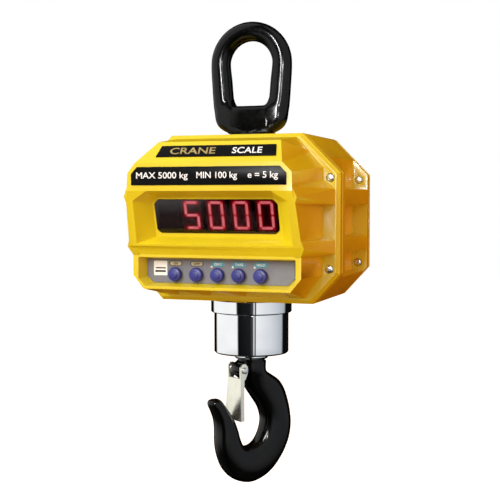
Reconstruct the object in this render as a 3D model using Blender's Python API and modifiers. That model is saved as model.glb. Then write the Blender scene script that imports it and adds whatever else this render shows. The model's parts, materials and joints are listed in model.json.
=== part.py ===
"""Crane scale: octagonal three-part housing, lifting eye, load cell and swivel hook.

All dimensions are in millimetres and become metres when a mesh is made. +Z is up,
the display faces -Y, and the origin is the inside crown of the lifting eye.
"""
import math

import bmesh
import bpy
from mathutils import Matrix, Vector

MM = 0.001
GAP = 0.3                     # air left between pieces that touch

# Octagonal outline shared by the flanges, gaskets and covers.
HALF_WIDTH = 136.0
TOP_Z = -125.0
UPPER_CORNER_Z = -174.0
LOWER_CORNER_Z = -299.0
BOTTOM_Z = -337.0
TOP_HALF = 88.0
BOTTOM_HALF = 101.5
SIDE_HALF = 116.0             # pocket floors between the ribs
EDGE_CHAMFER = 4.5

# Depths of the housing stack, front to back.
FLANGE_Y = -64.0
FLANGE_BACK_Y = -52.0
REAR_SHELL_Y = -49.0
REAR_FLANGE_Y = 89.0
REAR_SHELL_BACK_Y = 99.0
COVER_Y = 102.0
COVER_PLATE_Y = 108.0
COVER_PAD_Y = 118.0

# Front block: rating face, display face and key face.
RATING_Y = -161.0
CREST_Y = -141.0
KEY_FACE_Y = -135.0
KEY_Y = -120.4
DISPLAY_TOP_Z = -197.0
CREST_Z = -264.0
DISPLAY_DEPTH = 20.0
DISPLAY_TILT = math.atan2(CREST_Y - RATING_Y, DISPLAY_TOP_Z - CREST_Z)
LOGO_TILT = math.radians(-32.9)
RIB_HEIGHTS = ((-213.0, -194.0), (-274.0, -256.0))

# Display window, measured down the tilted face from its upper edge.
LENS_MID = -37.9
LENS_HALF_WIDTH = 79.0
LENS_HALF_HEIGHT = 21.4
LENS_LIP = 1.6
DIGIT_PITCH = 31.5
DIGIT_SIZE = (27.0, 10.0, 38.6)

# Keys.
KEY_XS = (-57.5, -29.5, -2.0, 25.5, 53.5)
KEY_Z = -299.4
KEY_RADIUS = 9.0

# Load path down the Z axis.
SHANK_RADIUS = 18.0
SHELL_HOLE_RADIUS = 22.0
EYE_BASE_Z = -121.4
EYE_FOOT = (29.0, 15.5)
CELL_TOP_Z = -152.0
CELL_BOTTOM_Z = -292.0
CELL_HALF = (38.0, 25.0)
PIN_RADIUS = 7.0
UPPER_PIN_Z = -176.0
LOWER_PIN_Z = -268.0
COLLAR_RADIUS = 53.5
COLLAR_Z = (-337.6, -355.4)
SWIVEL_RADIUS = 49.3
SWIVEL_BOTTOM_Z = -409.6
NUT_Z = (-370.0, -387.2)

# Hook and its latch, drawn in the hook's own plane.
HOOK_TURN = math.radians(55.0)
LATCH_PIVOT = (-21.5, -431.2)
LATCH_HALF_WIDTH = 14.7
LATCH_FLARE = 3.8
LATCH_SHEET = 2.4

SCREW_SPOTS = ((-124.0, -180.5), (124.0, -180.5), (-123.0, -293.0), (123.0, -293.0))

# Battery door.
DOOR_AXIS = (114.0, -279.5)
DOOR_HALF_WIDTH = 54.0
DOOR_TOP_Z = -192.6
DOOR_SCREW_Z = -202.0


def clear_scene():
    for obj in list(bpy.data.objects):
        bpy.data.objects.remove(obj, do_unlink=True)


def new_collection(name):
    collection = bpy.data.collections.new(name)
    bpy.context.scene.collection.children.link(collection)
    return collection


def material(name, rgb, roughness, metallic=0.0):
    mat = bpy.data.materials.new(name)
    mat.use_nodes = True
    shader = mat.node_tree.nodes["Principled BSDF"]
    shader.inputs["Base Color"].default_value = (*rgb, 1.0)
    shader.inputs["Roughness"].default_value = roughness
    shader.inputs["Metallic"].default_value = metallic
    mat.diffuse_color = (*rgb, 1.0)
    return mat


clear_scene()
PARTS = new_collection("crane_scale")
CUTTERS = new_collection("cutters")

YELLOW = material("yellow_paint", (0.85, 0.60, 0.02), 0.35)
BLACK_STEEL = material("black_forging", (0.02, 0.02, 0.02), 0.25)
CHROME = material("chrome_plate", (0.80, 0.80, 0.82), 0.12, 1.0)
STEEL = material("machined_steel", (0.55, 0.56, 0.58), 0.35, 1.0)
ZINC = material("zinc_sheet", (0.72, 0.70, 0.62), 0.40, 1.0)
RUBBER = material("black_rubber", (0.02, 0.02, 0.02), 0.80)
LABEL = material("black_label", (0.01, 0.01, 0.01), 0.30)
LENS = material("smoked_lens", (0.03, 0.005, 0.005), 0.08)
GREY = material("grey_key_panel", (0.27, 0.27, 0.30), 0.50)
KEY_BLUE = material("blue_key_rubber", (0.04, 0.05, 0.28), 0.55)
BOARD = material("circuit_board", (0.02, 0.18, 0.07), 0.50)
DISPLAY_BODY = material("display_body", (0.03, 0.03, 0.03), 0.50)
BATTERY_GREY = material("battery_case", (0.10, 0.10, 0.11), 0.50)
ALLOY = material("load_cell_alloy", (0.60, 0.61, 0.63), 0.35, 1.0)


def into(collection, obj):
    for owner in list(obj.users_collection):
        owner.objects.unlink(obj)
    collection.objects.link(obj)
    return obj


def finish(obj, name, mat, smooth=False):
    """Name a piece, give it its material and put it among the parts."""
    obj.name = name
    obj.data.name = name
    obj.data.materials.clear()
    obj.data.materials.append(mat)
    if smooth:
        obj.data.shade_smooth()
        obj.data.set_sharp_from_angle(angle=math.radians(35.0))
    return into(PARTS, obj)


def as_tool(obj):
    """Keep a shape only as the second operand of a Boolean."""
    obj.hide_render = True
    obj.display_type = "WIRE"
    return into(CUTTERS, obj)


def boolean(target, tool, operation):
    as_tool(tool)
    modifier = target.modifiers.new(operation.lower(), "BOOLEAN")
    modifier.operation = operation
    modifier.object = tool
    modifier.solver = "EXACT"
    return target


def cut(target, *tools):
    for tool in tools:
        boolean(target, tool, "DIFFERENCE")
    return target


def fuse(target, *tools):
    for tool in tools:
        boolean(target, tool, "UNION")
    return target


def from_bmesh(mesh_bm, name):
    bmesh.ops.recalc_face_normals(mesh_bm, faces=mesh_bm.faces)
    mesh = bpy.data.meshes.new(name)
    mesh_bm.to_mesh(mesh)
    mesh_bm.free()
    obj = bpy.data.objects.new(name, mesh)
    return into(PARTS, obj)


def box(low, high):
    """A box between two corners."""
    centre = [(a + b) * 0.5 * MM for a, b in zip(low, high)]
    size = [(b - a) * MM for a, b in zip(low, high)]
    bm = bmesh.new()
    bmesh.ops.create_cube(bm, size=1.0)
    place = Matrix.Translation(centre) @ Matrix.Diagonal((*size, 1.0))
    bmesh.ops.transform(bm, matrix=place, verts=bm.verts)
    return from_bmesh(bm, "box")


AXIS_TURN = {
    "X": Matrix.Rotation(math.pi / 2, 4, "Y"),
    "Y": Matrix.Rotation(-math.pi / 2, 4, "X"),
    "Z": Matrix.Identity(4),
}


def rod(axis, centre, radius, low, high, segments=16):
    """A cylinder along an axis, from low to high, through a centre point."""
    index = "XYZ".index(axis)
    middle = list(centre)
    middle[index] = (low + high) * 0.5
    place = Matrix.Translation([c * MM for c in middle]) @ AXIS_TURN[axis]
    bm = bmesh.new()
    bmesh.ops.create_cone(bm, cap_ends=True, segments=segments, radius1=radius * MM, radius2=radius * MM,
                          depth=(high - low) * MM, matrix=place)
    return from_bmesh(bm, "rod")


def loft(sections, closed=False):
    """Skin equal rings of points; an open loft gets an end face at each end."""
    bm = bmesh.new()
    rings = [[bm.verts.new(Vector(point) * MM) for point in ring] for ring in sections]
    count = len(rings[0])
    pairs = list(zip(rings, rings[1:]))
    if closed:
        pairs.append((rings[-1], rings[0]))
    else:
        bm.faces.new(rings[0])
        bm.faces.new(rings[-1])
    for first, second in pairs:
        for i in range(count):
            j = (i + 1) % count
            bm.faces.new((first[i], first[j], second[j], second[i]))
    return from_bmesh(bm, "loft")


def turned(profile, segments=32):
    """Turn a closed profile of (radius, z) points about Z with a Screw modifier."""
    bm = bmesh.new()
    verts = [bm.verts.new((radius * MM, 0.0, z * MM)) for radius, z in profile]
    for first, second in zip(verts, verts[1:]):
        bm.edges.new((first, second))
    if profile[0][0] > 0.0:
        bm.edges.new((verts[-1], verts[0]))
    mesh = bpy.data.meshes.new("profile")
    bm.to_mesh(mesh)
    bm.free()
    obj = into(PARTS, bpy.data.objects.new("turned", mesh))
    screw = obj.modifiers.new("turn", "SCREW")
    screw.steps = segments
    screw.render_steps = segments
    screw.use_merge_vertices = True
    screw.merge_threshold = 0.00001
    return obj


PLANES = {
    "XZ": Matrix(((1, 0, 0, 0), (0, 0, -1, 0), (0, 1, 0, 0), (0, 0, 0, 1))),
    "YZ": Matrix(((0, 0, 1, 0), (1, 0, 0, 0), (0, 1, 0, 0), (0, 0, 0, 1))),
}


def plate(outline, plane, low, high):
    """A flat outline drawn in a plane and extruded between two depths, as a mesh."""
    curve = bpy.data.curves.new("outline", "CURVE")
    curve.dimensions = "2D"
    curve.fill_mode = "BOTH"
    curve.extrude = (high - low) * 0.5 * MM
    spline = curve.splines.new("POLY")
    spline.points.add(len(outline) - 1)
    for point, (u, v) in zip(spline.points, outline):
        point.co = (u * MM, v * MM, 0.0, 1.0)
    spline.use_cyclic_u = True
    flat = bpy.data.objects.new("outline", curve)
    middle = (low + high) * 0.5 * MM
    shift = Vector((0.0, middle, 0.0)) if plane == "XZ" else Vector((middle, 0.0, 0.0))
    flat.matrix_world = Matrix.Translation(shift) @ PLANES[plane]
    bpy.context.scene.collection.objects.link(flat)
    bpy.context.view_layer.update()
    evaluated = flat.evaluated_get(bpy.context.evaluated_depsgraph_get())
    bm = bmesh.new()
    bm.from_mesh(bpy.data.meshes.new_from_object(evaluated))
    bmesh.ops.transform(bm, matrix=flat.matrix_world, verts=bm.verts)
    bmesh.ops.remove_doubles(bm, verts=bm.verts, dist=0.00001)
    bpy.data.objects.remove(flat, do_unlink=True)
    return from_bmesh(bm, "plate")


def empty(name, location, rotation=(0.0, 0.0, 0.0)):
    node = bpy.data.objects.new(name, None)
    node.location = [c * MM for c in location]
    node.rotation_euler = rotation
    return into(PARTS, node)


def ride(parent, *pieces, in_place=False):
    """Parent pieces, and the Boolean tools that shape them, to an empty.

    Pieces that are drawn round the empty's own parent stay in place on it.
    """
    undo = parent.matrix_basis.inverted() if in_place else Matrix.Identity(4)
    for piece in pieces:
        tools = [modifier.object for modifier in piece.modifiers if modifier.type == "BOOLEAN"]
        for obj in (piece, *tools):
            obj.parent = parent
            obj.matrix_parent_inverse = undo


def inset_outline(outline, distance):
    """Offset a convex clockwise outline inwards by a distance."""
    lines = []
    for (x0, z0), (x1, z1) in zip(outline, outline[1:] + outline[:1]):
        length = math.hypot(x1 - x0, z1 - z0)
        nx, nz = (z1 - z0) / length, -(x1 - x0) / length
        lines.append((nx, nz, nx * x0 + nz * z0 + distance))
    corners = []
    for (a1, b1, c1), (a2, b2, c2) in zip([lines[-1]] + lines[:-1], lines):
        det = a1 * b2 - a2 * b1
        corners.append(((c1 * b2 - c2 * b1) / det, (a1 * c2 - a2 * c1) / det))
    return corners


def both_sides(right):
    """A clockwise outline, symmetric about x = 0, from its right half."""
    return [(-right[0][0], right[0][1])] + right + [(-x, z) for x, z in reversed(right[1:])]


OCTAGON = both_sides([(TOP_HALF, TOP_Z), (HALF_WIDTH, UPPER_CORNER_Z), (HALF_WIDTH, LOWER_CORNER_Z),
                      (BOTTOM_HALF, BOTTOM_Z)])
CAVITY = both_sides([(82.0, -131.0), (110.0, -159.0), (110.0, -313.0), (92.0, -331.0)])
COVER_PAD = both_sides([(78.0, -165.0), (92.0, -179.0), (92.0, -295.0), (78.0, -309.0)])


def at_y(outline, y):
    return [(x, y, z) for x, z in outline]


def hull(points):
    """The convex hull of a few corner points."""
    bm = bmesh.new()
    for point in points:
        bm.verts.new(Vector(point) * MM)
    result = bmesh.ops.convex_hull(bm, input=bm.verts)
    inside = result["geom_unused"] + result["geom_interior"]
    loose = [v for v in inside if isinstance(v, bmesh.types.BMVert)]
    bmesh.ops.delete(bm, geom=loose, context="VERTS")
    return from_bmesh(bm, "hull")


# Each row is a height down the front block: z, face y, left x, right x, then x and z on the flange.
BLOCK_ROWS = (
    (-138.0, -144.5, -69.0, 86.0, 81.0, -129.0),
    (-163.5, RATING_Y, -93.5, 92.5, 98.0, -148.0),
    (-175.5, RATING_Y, -103.0, 104.0, SIDE_HALF, -167.0),
    (DISPLAY_TOP_Z, RATING_Y, -104.5, 104.5, SIDE_HALF, -193.0),
    (-212.0, -156.5, -107.0, 107.0, SIDE_HALF, -212.0),
    (CREST_Z, CREST_Y, -110.5, 110.5, SIDE_HALF, -264.0),
    (-274.5, KEY_FACE_Y, -108.0, 108.0, SIDE_HALF, -274.5),
    (-300.5, KEY_FACE_Y, -108.0, 108.0, SIDE_HALF, -300.0),
    (-317.0, KEY_FACE_Y, -94.5, 94.5, 92.0, -331.0),
)
# The hollow behind the faces: z, y, half width, then half width and z at the flange.
HOLLOW_ROWS = (
    (-146.0, -139.0, 72.0, 78.0, -134.0),
    (-168.0, -155.5, 86.0, 94.0, -152.0),
    (-178.0, -155.5, 96.0, 109.0, -171.0),
    (-190.0, -155.5, 97.0, 110.0, -190.0),
    (-202.0, -132.0, 98.0, 110.0, -204.0),
    (-258.0, -115.0, 101.0, 110.0, -258.0),
    (-281.0, -113.0, 101.5, 110.0, -280.0),
    (-303.0, -113.0, 101.5, 110.0, -300.0),
    (-311.0, -113.0, 95.0, 104.0, -311.0),
)


def stepped_block(rows, back_y):
    """Close a block whose face steps down through rows and whose back is a flat outline."""
    bm = bmesh.new()
    front = [(bm.verts.new(Vector((left, y, z)) * MM), bm.verts.new(Vector((right, y, z)) * MM))
             for z, y, left, right, _, _ in rows]
    back = [(bm.verts.new(Vector((-x, back_y, z)) * MM), bm.verts.new(Vector((x, back_y, z)) * MM))
            for _, _, _, _, x, z in rows]
    for upper, lower in zip(front, front[1:]):
        bm.faces.new((upper[0], upper[1], lower[1], lower[0]))
    for (f0, f1), (b0, b1) in zip(zip(front, front[1:]), zip(back, back[1:])):
        for side in (0, 1):
            bm.faces.new((f0[side], f1[side], b1[side], b0[side]))
    for end in (0, -1):
        bm.faces.new((front[end][0], front[end][1], back[end][1], back[end][0]))
    bm.faces.new([pair[0] for pair in back] + [pair[1] for pair in reversed(back)])
    bmesh.ops.triangulate(bm, faces=bm.faces)
    return from_bmesh(bm, "block")


def front_buttresses():
    """Two wedges a side, from the face's edge out to the flange's edge."""
    edge = HALF_WIDTH - EDGE_CHAMFER
    upper = (
        (100.0, -160.5, -192.0), (104.0, -160.5, -192.0), (109.3, -158.5, -204.0),
        (100.0, -156.0, -213.0), (106.5, -156.0, -213.0),
        (95.0, -60.0, -182.0), (SIDE_HALF, -60.0, -182.0), (edge, -60.0, -194.0),
        (edge, -60.0, -213.0), (SIDE_HALF, -60.0, -215.0), (95.0, -60.0, -215.0),
    )
    lower = (
        (100.0, -143.0, -256.0), (109.8, -143.0, -256.0), (113.0, -140.5, -265.0),
        (107.5, -135.5, -275.5), (100.0, -135.5, -275.5),
        (95.0, -60.0, -253.0), (SIDE_HALF, -60.0, -253.0), (edge, -60.0, -257.0),
        (edge, -60.0, -274.0), (SIDE_HALF, -60.0, -276.0), (95.0, -60.0, -276.0),
    )
    return [hull([(side * x, y, z) for x, y, z in corners]) for side in (-1, 1) for corners in (upper, lower)]


def display_frame():
    """An empty on the tilted display face: local X across, Z up the face, +Y into the housing."""
    return empty("display_face", (0.0, RATING_Y, DISPLAY_TOP_Z), (DISPLAY_TILT, 0.0, 0.0))


def rounded_outline(half_width, low, high, cut_top, cut_bottom):
    """A rectangle whose corners are cut, clockwise from the upper left."""
    return [(-half_width + cut_top, high), (half_width - cut_top, high), (half_width, high - cut_top),
            (half_width, low + cut_bottom), (half_width - cut_bottom, low), (-half_width + cut_bottom, low),
            (-half_width, low + cut_bottom), (-half_width, high - cut_top)]


def window_outline(grow, low, high):
    """The lens outline: small upper cuts, rounder lower corners."""
    return rounded_outline(LENS_HALF_WIDTH + grow, low - grow, high + grow, 6.0, 5.0)


def display_recess():
    """The sunk window surround: wide and cut-cornered at the face, narrow at its floor."""
    mouth = both_sides([(79.0, 0.0), (98.0, -12.5), (100.0, -67.5)])
    floor = both_sides([(75.0, -14.5), (81.5, -20.0), (82.0, -64.0)])
    lift = 6.0
    sections = []
    for depth in (-lift, DISPLAY_DEPTH):
        share = depth / DISPLAY_DEPTH
        sections.append([(mx + (fx - mx) * share, depth, mz + (fz - mz) * share)
                         for (mx, mz), (fx, fz) in zip(mouth, floor)])
    return loft(sections)


def key_recess():
    """The sunk tray round the keys, drafted so that it narrows to its floor."""
    mouth = rounded_outline(101.0, -313.5, -278.0, 1.0, 9.0)
    floor = rounded_outline(96.0, -310.3, -280.7, 0.5, 8.0)
    return loft([[(x + (x - xf) * 0.3, KEY_FACE_Y - 4.5, z + (z - zf) * 0.3)
                  for (x, z), (xf, zf) in zip(mouth, floor)], at_y(floor, KEY_Y + 2.3)])


def bottom_pockets():
    """Weight-saving pockets under the key face, parted by slanted ribs."""
    pockets = []
    spans = ((-86.0, -52.0, 10.0), (-46.0, -6.0, 14.0), (2.0, 42.0, 14.0), (48.0, 84.0, -10.0))
    for low, high, lean in spans:
        front = at_y([(low, -315.0), (high, -315.0), (high, -340.0), (low, -340.0)], -128.0)
        back = [(x + lean, -68.0, z) for x, _, z in front]
        pockets.append(loft([front, back]))
    return pockets


def front_housing():
    edge = inset_outline(OCTAGON, EDGE_CHAMFER)
    body = loft([at_y(edge, FLANGE_Y), at_y(OCTAGON, FLANGE_Y + EDGE_CHAMFER), at_y(OCTAGON, FLANGE_BACK_Y)])
    fuse(body, stepped_block(BLOCK_ROWS, -58.0))
    fuse(body, *front_buttresses())
    hollow = [(z, y, -half, half, x, zf) for z, y, half, x, zf in HOLLOW_ROWS]
    cut(body, stepped_block(hollow, -50.0))
    face = bpy.data.objects["display_face"]
    recess = display_recess()
    rebate = plate(window_outline(GAP, LENS_MID - LENS_HALF_HEIGHT, LENS_MID + LENS_HALF_HEIGHT), "XZ",
                   DISPLAY_DEPTH - 1.0, DISPLAY_DEPTH + 2.2)
    opening = box((-LENS_HALF_WIDTH + LENS_LIP, DISPLAY_DEPTH, LENS_MID - LENS_HALF_HEIGHT + LENS_LIP),
                  (LENS_HALF_WIDTH - LENS_LIP, DISPLAY_DEPTH + 16.0, LENS_MID + LENS_HALF_HEIGHT - LENS_LIP))
    ride(face, recess, rebate, opening)
    cut(body, recess, rebate, opening)
    cut(body, key_recess())
    cut(body, *[rod("Y", (x, 0.0, KEY_Z), 7.0, KEY_Y - 1.0, -100.0) for x in KEY_XS])
    cut(body, *bottom_pockets())
    cut(body, *[rod("Y", (x, 0.0, z), 3.0, -70.0, -45.0, 12) for x, z in SCREW_SPOTS])
    cut(body, *[rod("Y", (x, 0.0, z), 5.8, -70.0, FLANGE_Y + 1.6, 16) for x, z in SCREW_SPOTS])
    return finish(body, "front_housing", YELLOW)


def rear_housing():
    edge = inset_outline(OCTAGON, EDGE_CHAMFER * 0.5)
    body = loft([at_y(edge, REAR_SHELL_Y), at_y(OCTAGON, REAR_SHELL_Y + 2.2),
                 at_y(OCTAGON, REAR_SHELL_BACK_Y - 2.2), at_y(edge, REAR_SHELL_BACK_Y)])
    (upper_low, upper_high), (lower_low, lower_high) = RIB_HEIGHTS
    for side in (-1, 1):
        for low, high in ((-305.0, lower_low), (lower_high, upper_low), (upper_high, -150.0)):
            inner, outer = side * SIDE_HALF, side * 142.0
            pocket = [(inner, low + 3.0), (inner, high - 3.0), (outer, high + 1.0), (outer, low - 1.0)]
            cut(body, plate(pocket, "XZ", REAR_SHELL_Y + 12.0, REAR_FLANGE_Y))
    cut(body, loft([at_y(CAVITY, REAR_SHELL_Y - 5.0), at_y(CAVITY, REAR_SHELL_BACK_Y + 5.0)]))
    cut(body, rod("Z", (0.0, 0.0, 0.0), SHELL_HOLE_RADIUS, -345.0, -120.0, 32))
    for x, z in SCREW_SPOTS:
        cut(body, rod("Y", (x, 0.0, z), 3.0, -55.0, -40.0, 12))
        cut(body, rod("Y", (x, 0.0, z), 3.0, 80.0, 105.0, 12))
        cut(body, rod("Y", (x, 0.0, z), 5.8, 80.0, REAR_FLANGE_Y + 1.6, 16))
    for side in (-1, 1):
        for z in (-175.0, -285.0):
            low, high = sorted((side * 86.0, side * 112.0))
            fuse(body, box((low, -40.0, z - 5.0), (high, -34.0, z + 5.0)))
    return finish(body, "rear_housing", YELLOW)


def gasket(name, front_y, back_y):
    """A flat seal that follows the flange outline, with a thin lip outside the bolts."""
    seal = plate(inset_outline(OCTAGON, 1.2), "XZ", front_y + GAP, back_y - GAP)
    cut(seal, plate(CAVITY, "XZ", front_y - 3.0, back_y + 3.0))
    cut(seal, *[rod("Y", (x, 0.0, z), 3.2, front_y - 3.0, back_y + 3.0, 12) for x, z in SCREW_SPOTS])
    return finish(seal, name, RUBBER)


def rear_cover():
    edge = inset_outline(OCTAGON, 3.0)
    body = loft([at_y(OCTAGON, COVER_Y), at_y(OCTAGON, COVER_PLATE_Y - 2.5), at_y(edge, COVER_PLATE_Y)])
    fuse(body, loft([at_y(COVER_PAD, COVER_PLATE_Y - 2.0), at_y(inset_outline(COVER_PAD, 7.0), COVER_PAD_Y)]))
    fuse(body, box((-53.0, 44.0, -271.5), (53.0, COVER_Y + 2.0, -208.5)))
    cut(body, box((-49.5, 48.0, -267.5), (49.5, 125.0, -212.5)))
    door_half = DOOR_HALF_WIDTH + GAP
    cut(body, box((-door_half, 110.3, -287.0), (door_half, 125.0, DOOR_TOP_Z + GAP)))
    axis_y, axis_z = DOOR_AXIS
    for side in (-1, 1):
        low, high = sorted((side * 31.2, side * 40.0))
        ear = box((low, 109.0, axis_z - 4.0), (high, axis_y + 3.7, axis_z + 4.0))
        fuse(body, ear)
    cut(body, rod("X", (0.0, axis_y, axis_z), 2.3, -40.6, 40.6, 16))
    cut(body, rod("Y", (0.0, 0.0, DOOR_SCREW_Z), 5.0, 103.9, 114.0, 16))
    cut(body, rod("Y", (-101.0, 0.0, -240.0), 7.3, 95.0, 115.0, 20))
    cut(body, *[rod("Y", (x, 0.0, z), 2.6, 98.0, 106.3, 12) for x, z in SCREW_SPOTS])
    return finish(body, "rear_cover", YELLOW)


def screws():
    """Pan-head screws: four in the front flange and four in the rear one."""
    for group, head_y, length in (("front", FLANGE_Y, 21.0), ("rear", REAR_FLANGE_Y, 15.5)):
        for number, (x, z) in enumerate(SCREW_SPOTS, 1):
            seat = 1.6 - GAP
            screw = turned(((0.0, 1.6), (2.6, 1.4), (4.4, 0.6), (5.2, -0.6), (5.2, -seat), (2.4, -seat),
                            (2.4, -length + 1.5), (1.4, -length), (0.0, -length)), 12)
            screw.rotation_euler = (math.pi / 2, 0.0, 0.0)
            screw.location = (x * MM, head_y * MM, z * MM)
            finish(screw, f"{group}_screw_{number}", STEEL, smooth=False)


def label_plates():
    outline = both_sides([(90.0, -168.3), (97.9, -176.4), (97.9, -190.2)])
    finish(plate(outline, "XZ", RATING_Y - GAP - 0.8, RATING_Y - GAP), "rating_plate", LABEL)
    face = empty("logo_face", (0.0, RATING_Y, -163.5), (LOGO_TILT, 0.0, 0.0))
    strip = plate([(-62.5, 24.0), (82.0, 24.0), (84.0, 7.8), (-67.5, 7.8)], "XZ", -GAP - 0.8, -GAP)
    ride(face, finish(strip, "nameplate", LABEL))


def display_parts(face):
    low = LENS_MID - LENS_HALF_HEIGHT
    high = LENS_MID + LENS_HALF_HEIGHT
    lens = plate(window_outline(0.0, low, high), "XZ", DISPLAY_DEPTH - 0.8, DISPLAY_DEPTH + 1.2)
    finish(lens, "window_lens", LENS)
    seal = plate(window_outline(-0.4, low, high), "XZ", DISPLAY_DEPTH + 1.5, DISPLAY_DEPTH + 1.9)
    cut(seal, plate(window_outline(-LENS_LIP, low, high), "XZ", DISPLAY_DEPTH, DISPLAY_DEPTH + 4.0))
    finish(seal, "window_seal", RUBBER)
    ride(face, lens, seal)
    width, depth, height = DIGIT_SIZE
    front = DISPLAY_DEPTH + 2.5
    for number in range(5):
        x = (number - 2) * DIGIT_PITCH
        module = box((x - width / 2, front, LENS_MID - height / 2),
                     (x + width / 2, front + depth, LENS_MID + height / 2))
        finish(module, f"digit_{number + 1}", DISPLAY_BODY)
        ride(face, module)
    back = front + depth + GAP
    board = box((-88.0, back, LENS_MID - 24.0), (88.0, back + 1.6, LENS_MID + 24.0))
    fuse(board, box((-30.0, back + 0.7, LENS_MID - 12.0), (-8.0, back + 4.7, LENS_MID + 10.0)))
    finish(board, "display_board", BOARD)
    ride(face, board)


def keys():
    panel = plate(rounded_outline(95.7, -310.0, -281.0, 0.5, 8.0), "XZ", KEY_Y + 0.7, KEY_Y + 2.0)
    cut(panel, *[rod("Y", (x, 0.0, KEY_Z), 7.0, KEY_Y - 3.0, KEY_Y + 5.0) for x in KEY_XS])
    finish(panel, "key_panel", GREY)
    for number, x in enumerate(KEY_XS, 1):
        cap = turned(((0.0, 8.0), (4.2, 7.8), (4.8, 7.0), (6.2, 6.6), (8.2, 5.2), (KEY_RADIUS, 3.0),
                      (KEY_RADIUS, 2.3), (5.8, 2.3), (5.8, -4.0), (3.0, -4.0), (3.0, -8.6), (0.0, -8.6)), 16)
        cap.rotation_euler = (math.pi / 2, 0.0, 0.0)
        cap.location = (x * MM, (KEY_Y + 0.7) * MM, KEY_Z * MM)
        finish(cap, f"key_cap_{number}", KEY_BLUE, smooth=False)
        switch = box((x - 4.5, KEY_Y + 12.0, KEY_Z - 4.5), (x + 4.5, KEY_Y + 15.7, KEY_Z + 4.5))
        finish(switch, f"key_switch_{number}", DISPLAY_BODY)
    board = box((-80.0, KEY_Y + 16.0, -309.0), (80.0, KEY_Y + 17.6, -288.0))
    finish(board, "switch_board", BOARD)


def main_board():
    board = box((-100.0, -42.3, -295.0), (100.0, -40.7, -165.0))
    # Each component: left x, right x, front y, low z and high z.
    components = ((-60.0, -35.0, -50.0, -230.0, -205.0), (-12.0, 24.0, -46.0, -215.0, -182.0),
                  (45.0, 75.0, -52.0, -285.0, -262.0), (-84.0, -66.0, -47.0, -190.0, -172.0))
    for left, right, front, low, high in components:
        fuse(board, box((left, front, low), (right, -42.0, high)))
    return finish(board, "main_board", BOARD)


def rounded_section(inner, outer, thickness, count=14, power=2.5):
    """A superellipse that stands on the line from an inner point to an outer one."""
    (xi, zi), (xo, zo) = inner, outer
    centre = ((xi + xo) / 2, (zi + zo) / 2)
    ring = []
    for i in range(count):
        angle = 2 * math.pi * (i + 0.5) / count
        c, s = math.cos(angle), math.sin(angle)
        along = math.copysign(abs(c) ** (2 / power), c)
        across = math.copysign(abs(s) ** (2 / power), s)
        x = centre[0] + along * (xo - xi) / 2
        z = centre[1] + along * (zo - zi) / 2
        ring.append((x, across * thickness / 2, z))
    return ring


def eye_stations():
    """Inner point, outer point and thickness round the ring, from the base over the crown and back."""
    crown_z = -29.6
    inner_radius, outer_radius = 29.6, 55.4
    right = [((0.0, -84.5), (0.0, EYE_BASE_Z), 33.0), ((12.0, -84.5), (17.0, EYE_BASE_Z), 33.0),
             ((21.0, -83.8), (32.0, -118.8), 32.0), ((24.6, -79.5), (45.0, -109.0), 30.0),
             ((25.8, -70.0), (51.0, -90.0), 27.0), ((27.4, -50.0), (53.8, -58.0), 26.0)]
    for step in range(6):
        angle = math.radians(18.0 * step)
        right.append(((inner_radius * math.cos(angle), crown_z + inner_radius * math.sin(angle)),
                      (outer_radius * math.cos(angle), crown_z + outer_radius * math.sin(angle)), 26.0))
    left = [((-xi, zi), (-xo, zo), t) for (xi, zi), (xo, zo), t in right[1:-1]]
    return right + left[::-1]


def top_eye():
    sections = [rounded_section(inner, outer, thick) for inner, outer, thick in eye_stations()]
    eye = loft(sections, closed=True)
    fuse(eye, rod("Z", (0.0, 0.0, 0.0), SHANK_RADIUS, -196.0, -110.0, 28))
    foot_x, foot_y = EYE_FOOT
    fuse(eye, box((-foot_x, -foot_y, EYE_BASE_Z), (foot_x, foot_y, -104.0)))
    cut(eye, rod("Y", (0.0, 0.0, UPPER_PIN_Z), PIN_RADIUS + GAP, -30.0, 30.0))
    return finish(eye, "top_eye", BLACK_STEEL, smooth=True)


def load_cell():
    """An S-shaped cell, pinned to the eye above and to the swivel below."""
    half_x, half_y = CELL_HALF
    cell = box((-half_x, -half_y, CELL_BOTTOM_Z), (half_x, half_y, CELL_TOP_Z))
    cut(cell, rod("Z", (0.0, 0.0, 0.0), SHANK_RADIUS + GAP, -197.0, CELL_TOP_Z + 5.0, 28))
    cut(cell, rod("Z", (0.0, 0.0, 0.0), SHANK_RADIUS + GAP, CELL_BOTTOM_Z - 5.0, -247.0, 28))
    cut(cell, box((-25.0, -40.0, -212.0), (45.0, 40.0, -207.0)))
    cut(cell, box((-45.0, -40.0, -237.0), (25.0, 40.0, -232.0)))
    for z in (UPPER_PIN_Z, LOWER_PIN_Z):
        cut(cell, rod("Y", (0.0, 0.0, z), PIN_RADIUS + GAP, -30.0, 30.0))
        side = "upper" if z == UPPER_PIN_Z else "lower"
        finish(rod("Y", (0.0, 0.0, z), PIN_RADIUS, -26.0, 26.0), f"load_cell_pin_{side}", STEEL, smooth=True)
    return finish(cell, "load_cell", ALLOY)


def eye_seal():
    bore = SHANK_RADIUS + GAP
    ring = turned(((bore, TOP_Z + 3.0), (29.0, TOP_Z + 3.0), (32.0, TOP_Z + 1.6), (32.0, TOP_Z + GAP),
                   (bore, TOP_Z + GAP)), 32)
    return finish(ring, "eye_seal", RUBBER)


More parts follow.
